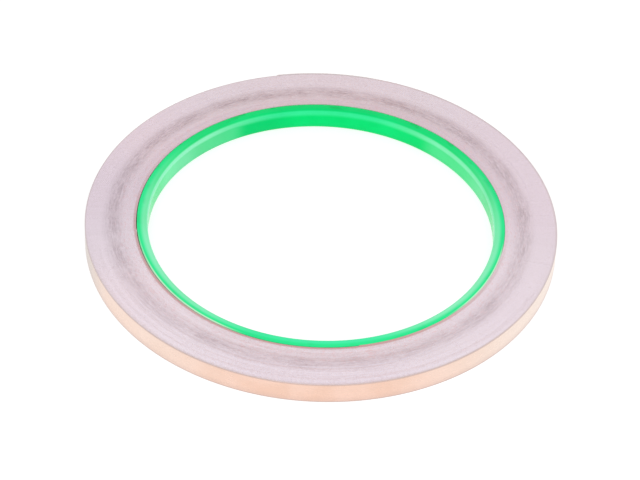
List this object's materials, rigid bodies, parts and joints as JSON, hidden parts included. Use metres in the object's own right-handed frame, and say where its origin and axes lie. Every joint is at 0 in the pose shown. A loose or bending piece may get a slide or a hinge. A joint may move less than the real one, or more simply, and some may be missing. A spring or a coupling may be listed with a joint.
{
  "type": "copper foil tape roll",
  "caption": "Narrow roll of adhesive-backed copper foil tape with a paper release liner, wound on a flat moulded plastic ring core, for edging stained glass before soldering.",
  "frame": {"origin": "on the axis of the core's bore, in the plane of the side that the roll lies on", "axes": "+Z along the roll's axis, up out of the side it lies on; the tape's free end is on the +Y side"},
  "size_m": [0.1039, 0.104, 0.005],
  "materials": {
    "core": "glossy, saturated green moulded plastic",
    "liner": "matt white siliconised paper",
    "adhesive": "thin clear acrylic film",
    "foil": "bright bare copper"
  },
  "bodies": {
    "roll": {"core": "core", "wound_liner": "liner", "wound_adhesive": "adhesive", "wound_foil": "foil"},
    "tape_end": {"end_liner": "liner", "end_adhesive_root": "adhesive", "end_foil_root": "foil"},
    "foil_end": {"end_adhesive_tip": "adhesive", "end_foil_tip": "foil"}
  },
  "joints": [
    {"name": "end_lift", "type": "hinge", "parent": "roll", "child": "tape_end", "pos_m": [0.01164, 0.05077, 0], "axis": [0, 0, -1], "range_deg": [0, 75]},
    {"name": "foil_peel", "type": "hinge", "parent": "tape_end", "child": "foil_end", "pos_m": [0.00356, 0.05196, 0], "axis": [0, 0, -1], "range_deg": [0, 75]}
  ]
}
